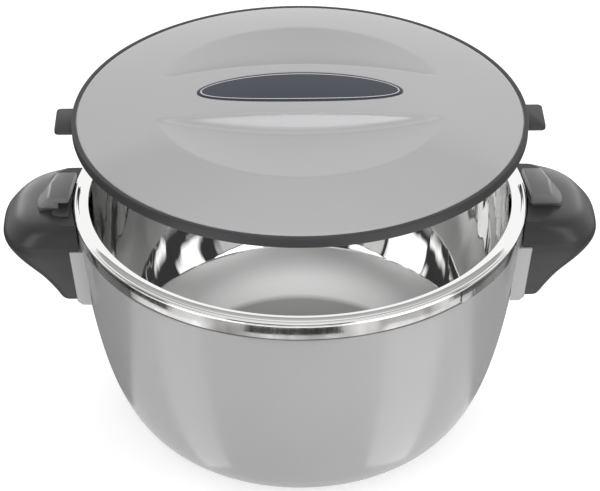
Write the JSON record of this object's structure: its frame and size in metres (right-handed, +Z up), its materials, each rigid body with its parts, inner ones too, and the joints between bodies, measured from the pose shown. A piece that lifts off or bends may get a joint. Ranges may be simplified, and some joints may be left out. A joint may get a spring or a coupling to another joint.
{
  "type": "insulated serving pot",
  "caption": "Insulated serving pot with a steel bowl in a moulded shell, a dark handle at each side and a turn-to-lock lid with a grip bar, shown lifted clear of the rim.",
  "frame": {"origin": "middle of the foot ring's underside, where the pot stands on the table", "axes": "+X towards the right handle, -Y towards the viewer at the pot's front, +Z up along the pot's axis"},
  "size_m": [0.3146, 0.24, 0.2],
  "materials": {
    "shell_plastic": "satin silver-grey moulding",
    "cover_plastic": "satin silver-grey moulding, smooth",
    "dark_plastic": "dark grey, fine matt grain",
    "catch_plastic": "dark grey, slightly lighter than the handles",
    "bowl_steel": "stainless steel, mirror wall and rim, satin floor",
    "band_steel": "stainless strip, bright rolled finish",
    "liner_steel": "stainless steel, satin",
    "screw_steel": "zinc-plated steel",
    "emblem": "dark blue-grey enamel look with a thin silver line",
    "seal_rubber": "milky silicone",
    "foot_rubber": "dark matt rubber",
    "foam": "rigid foam, pale yellow"
  },
  "bodies": {
    "pot": {"outer_shell": "shell_plastic", "base_plate": "shell_plastic", "foot_ring": "foot_rubber", "foam_plug": "dark_plastic", "pot_insulation": "foam", "inner_bowl": "bowl_steel", "rim_seal": "seal_rubber", "rim_band_front_left": "band_steel", "rim_band_front_right": "band_steel", "rim_band_back": "band_steel", "handle_left": "dark_plastic", "handle_right": "dark_plastic", "handle_screws": "screw_steel", "catch_screws": "screw_steel", "lid_catch_left": "catch_plastic", "lid_catch_right": "catch_plastic"},
    "lid_carrier": {"lid_gasket": "seal_rubber"},
    "lid": {"lid_cover": "cover_plastic", "lid_base": "dark_plastic", "lid_insulation": "foam", "lid_liner": "liner_steel", "emblem_plate": "emblem"}
  },
  "joints": [
    {"name": "lid_lift", "type": "slide", "parent": "pot", "child": "lid_carrier", "axis": [0, 0, 1], "range_m": [-0.0432, 0.06]},
    {"name": "lid_turn", "type": "hinge", "parent": "lid_carrier", "child": "lid", "pos_m": [0, 0, 0.1785], "axis": [0, 0, 1], "range_deg": [0, 22]}
  ]
}
